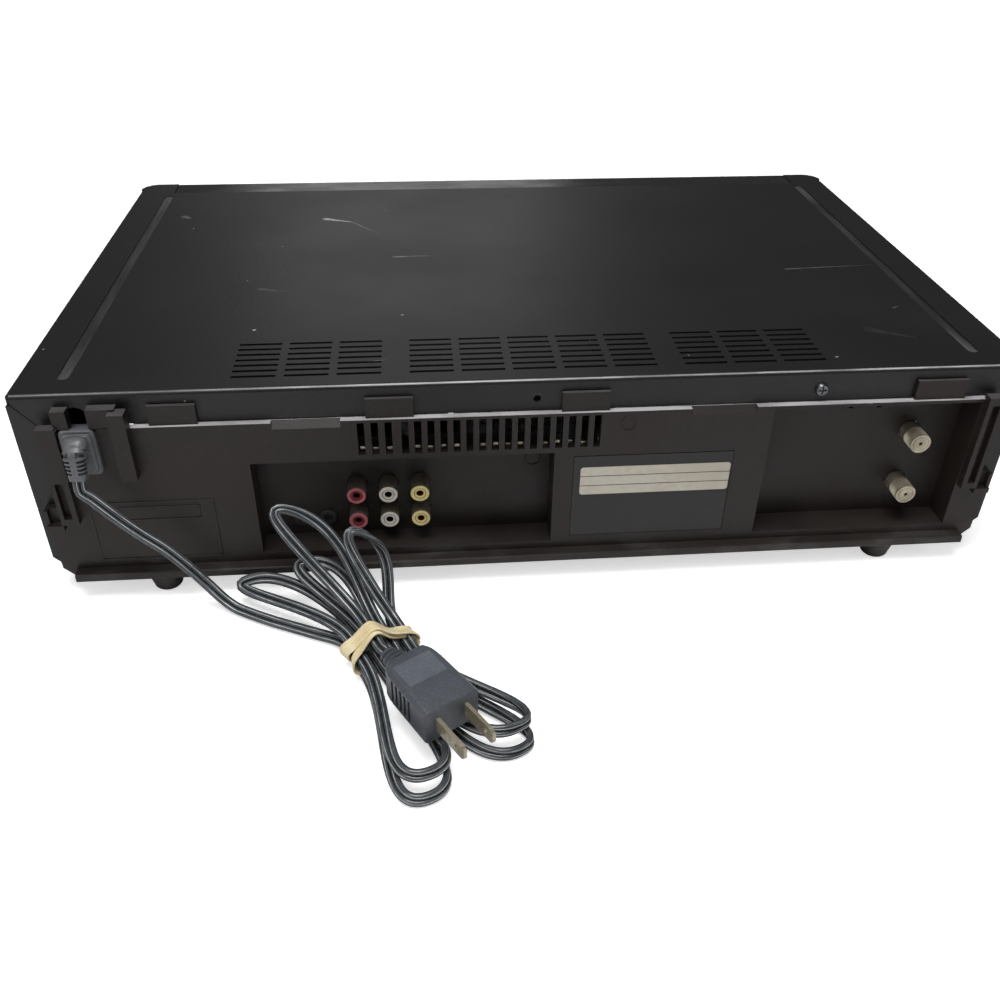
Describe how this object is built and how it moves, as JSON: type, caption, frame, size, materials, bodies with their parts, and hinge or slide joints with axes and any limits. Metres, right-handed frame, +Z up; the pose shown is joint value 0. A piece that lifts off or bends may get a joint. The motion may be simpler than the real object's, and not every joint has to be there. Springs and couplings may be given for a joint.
{
  "type": "video cassette recorder",
  "caption": "Front-loading video cassette recorder with a slotted metal cover, a working tape deck, recessed rear sockets and its mains cord tied in a hank.",
  "frame": {"origin": "under the middle of the case, on the surface that it stands on", "axes": "+Z up; the front with the cassette door faces -Y and the rear sockets face +Y; +X is to the left of someone who looks at the rear"},
  "size_m": [0.43, 0.4154, 0.1],
  "materials": {
    "cover_metal": "black paint with a fine sandy texture",
    "black_plastic": "fine-grained black moulding",
    "front_plastic": "satin black moulding",
    "key_plastic": "dark grey moulding",
    "smoked_window": "smoked transparent plastic",
    "zinc_steel": "zinc-plated steel sheet",
    "cast_alloy": "turned and cast aluminium",
    "polished_steel": "ground and polished steel",
    "brass_yellow": "turned brass",
    "nickel_worn": "nickel plate gone dull",
    "red_plastic": "red moulding",
    "white_plastic": "white moulding",
    "yellow_plastic": "yellow moulding",
    "gear_plastic": "natural acetal",
    "black_rubber": "moulded rubber",
    "cord_vinyl": "grey-black vinyl with a slight sheen",
    "band_rubber": "tan natural rubber",
    "plug_vinyl": "moulded vinyl",
    "board_green": "solder-masked glass fibre",
    "board_tan": "phenolic paper board",
    "component_black": "sleeves and moulded packages",
    "label_film": "dark foil label"
  },
  "bodies": {
    "case": {"top_cover": "cover_metal", "chassis_frame": "black_plastic", "rear_panel": "black_plastic", "bottom_plate": "zinc_steel", "front_panel": "front_plastic", "display_window": "smoked_window", "front_board": "board_green", "feet": "black_plastic", "case_screws": "zinc_steel", "rca_shells": "nickel_worn", "rca_red": "red_plastic", "rca_white": "white_plastic", "rca_yellow": "yellow_plastic", "rf_connectors": "nickel_worn", "tuner_can": "zinc_steel", "rating_label": "label_film", "cord_bushing": "black_plastic", "power_cord_lead": "cord_vinyl", "power_cord_hank": "cord_vinyl", "hank_band": "band_rubber", "plug_body": "plug_vinyl", "plug_blades": "nickel_worn", "main_board": "board_green", "board_parts": "component_black", "psu_board": "board_tan", "psu_parts": "component_black", "mecha_chassis": "zinc_steel", "drum_lower": "cast_alloy", "capstan_motor": "brass_yellow", "loading_motor": "zinc_steel", "tape_heads": "cast_alloy", "tape_posts": "polished_steel", "tray_brackets": "zinc_steel"},
    "door": {"cassette_door": "front_plastic"},
    "drum": {"drum_upper": "cast_alloy"},
    "capstan": {"capstan": "polished_steel"},
    "pinch_arm": {"pinch_arm": "zinc_steel"},
    "pinch_roller": {"pinch_roller": "black_rubber"},
    "supply_reel": {"supply_reel_table": "gear_plastic"},
    "takeup_reel": {"takeup_reel_table": "gear_plastic"},
    "idler_arm": {"idler_arm": "zinc_steel"},
    "idler_wheel": {"idler_wheel": "black_rubber"},
    "supply_guide": {"supply_guide_base": "brass_yellow", "supply_loading_ring": "gear_plastic"},
    "takeup_guide": {"takeup_guide_base": "brass_yellow", "takeup_loading_ring": "gear_plastic"},
    "supply_ring_gear": {"supply_ring_gear": "gear_plastic"},
    "takeup_ring_gear": {"takeup_ring_gear": "gear_plastic"},
    "cam_gear": {"cam_gear": "gear_plastic"},
    "motor_pinion": {"motor_pinion": "brass_yellow"},
    "slider": {"tray_slider": "zinc_steel"},
    "tray": {"cassette_tray": "zinc_steel"},
    "power": {"power_button": "key_plastic"},
    "eject": {"eject_button": "key_plastic"},
    "rewind": {"rewind_button": "key_plastic"},
    "play": {"play_button": "key_plastic"},
    "fast_forward": {"fast_forward_button": "key_plastic"},
    "pause": {"pause_button": "key_plastic"},
    "stop": {"stop_button": "key_plastic"},
    "record": {"record_button": "key_plastic"}
  },
  "joints": [
    {"name": "door_hinge", "type": "hinge", "parent": "case", "child": "door", "pos_m": [0, -0.1416, 0.0825], "axis": [1, 0, 0], "range_deg": [0, 90], "stiffness_Nm_per_rad": 0.02, "springref_deg": -20.05},
    {"name": "power_press", "type": "slide", "parent": "case", "child": "power", "axis": [0, 1, 0], "range_m": [0, 0.001], "stiffness_N_per_m": 400, "springref_m": -0.0005},
    {"name": "eject_press", "type": "slide", "parent": "case", "child": "eject", "axis": [0, 1, 0], "range_m": [0, 0.001], "stiffness_N_per_m": 400, "springref_m": -0.0005},
    {"name": "rewind_press", "type": "slide", "parent": "case", "child": "rewind", "axis": [0, 1, 0], "range_m": [0, 0.001], "stiffness_N_per_m": 400, "springref_m": -0.0005},
    {"name": "play_press", "type": "slide", "parent": "case", "child": "play", "axis": [0, 1, 0], "range_m": [0, 0.001], "stiffness_N_per_m": 400, "springref_m": -0.0005},
    {"name": "fast_forward_press", "type": "slide", "parent": "case", "child": "fast_forward", "axis": [0, 1, 0], "range_m": [0, 0.001], "stiffness_N_per_m": 400, "springref_m": -0.0005},
    {"name": "pause_press", "type": "slide", "parent": "case", "child": "pause", "axis": [0, 1, 0], "range_m": [0, 0.001], "stiffness_N_per_m": 400, "springref_m": -0.0005},
    {"name": "stop_press", "type": "slide", "parent": "case", "child": "stop", "axis": [0, 1, 0], "range_m": [0, 0.001], "stiffness_N_per_m": 400, "springref_m": -0.0005},
    {"name": "record_press", "type": "slide", "parent": "case", "child": "record", "axis": [0, 1, 0], "range_m": [0, 0.001], "stiffness_N_per_m": 400, "springref_m": -0.0005},
    {"name": "drum_spin", "type": "hinge", "parent": "case", "child": "drum", "pos_m": [0, 0.068, 0.038], "axis": [0, -0.1045, 0.9945], "continuous": true},
    {"name": "capstan_spin", "type": "hinge", "parent": "case", "child": "capstan", "pos_m": [0.062, 0.034, 0.03], "axis": [0, 0, 1], "continuous": true},
    {"name": "pinch_swing", "type": "hinge", "parent": "case", "child": "pinch_arm", "pos_m": [0.088, 0.04, 0.03], "axis": [0, 0, 1], "range_deg": [0, 30]},
    {"name": "pinch_roller_spin", "type": "hinge", "parent": "pinch_arm", "child": "pinch_roller", "pos_m": [0.07266, 0.04941, 0.05], "axis": [0, 0, 1], "continuous": true},
    {"name": "supply_reel_spin", "type": "hinge", "parent": "case", "child": "supply_reel", "pos_m": [-0.046, -0.05, 0.03], "axis": [0, 0, 1], "continuous": true},
    {"name": "takeup_reel_spin", "type": "hinge", "parent": "case", "child": "takeup_reel", "pos_m": [0.046, -0.05, 0.03], "axis": [0, 0, 1], "continuous": true},
    {"name": "idler_swing", "type": "hinge", "parent": "case", "child": "idler_arm", "pos_m": [0, -0.018, 0.03], "axis": [0, 0, 1], "range_deg": [-9, 9]},
    {"name": "idler_wheel_spin", "type": "hinge", "parent": "idler_arm", "child": "idler_wheel", "pos_m": [0, -0.044, 0.03], "axis": [0, 0, 1], "continuous": true},
    {"name": "supply_guide_load", "type": "hinge", "parent": "case", "child": "supply_guide", "pos_m": [0, 0.068, 0.03], "axis": [0, 0, 1], "range_deg": [-77, 0]},
    {"name": "takeup_guide_load", "type": "hinge", "parent": "case", "child": "takeup_guide", "pos_m": [0, 0.068, 0.03], "axis": [0, 0, 1], "range_deg": [0, 77]},
    {"name": "supply_gear_turn", "type": "hinge", "parent": "case", "child": "supply_ring_gear", "pos_m": [-0.04915, 0.03358, 0.0285], "axis": [0, 0, 1], "range_deg": [0, 385]},
    {"name": "takeup_gear_turn", "type": "hinge", "parent": "case", "child": "takeup_ring_gear", "pos_m": [-0.03511, 0.01934, 0.0285], "axis": [0, 0, 1], "range_deg": [-385, 0]},
    {"name": "cam_gear_turn", "type": "hinge", "parent": "case", "child": "cam_gear", "pos_m": [-0.08263, 0.02768, 0.0285], "axis": [0, 0, 1], "range_deg": [-160.43, 0]},
    {"name": "loading_motor_turn", "type": "hinge", "parent": "case", "child": "motor_pinion", "pos_m": [-0.08784, 0.05723, 0.0285], "axis": [0, 0, 1], "range_deg": [0, 641.68]},
    {"name": "slider_travel", "type": "slide", "parent": "case", "child": "slider", "axis": [0, 1, 0], "range_m": [0, 0.068]},
    {"name": "tray_drop", "type": "slide", "parent": "slider", "child": "tray", "axis": [0, 0, 1], "range_m": [-0.02, 0]}
  ],
  "couplings": [
    {"joint": "takeup_guide_load", "follows": "supply_guide_load", "ratio": -1},
    {"joint": "supply_gear_turn", "follows": "supply_guide_load", "ratio": -5},
    {"joint": "takeup_gear_turn", "follows": "supply_guide_load", "ratio": 5},
    {"joint": "cam_gear_turn", "follows": "supply_guide_load", "ratio": 2.0833},
    {"joint": "loading_motor_turn", "follows": "supply_guide_load", "ratio": -8.3333}
  ]
}
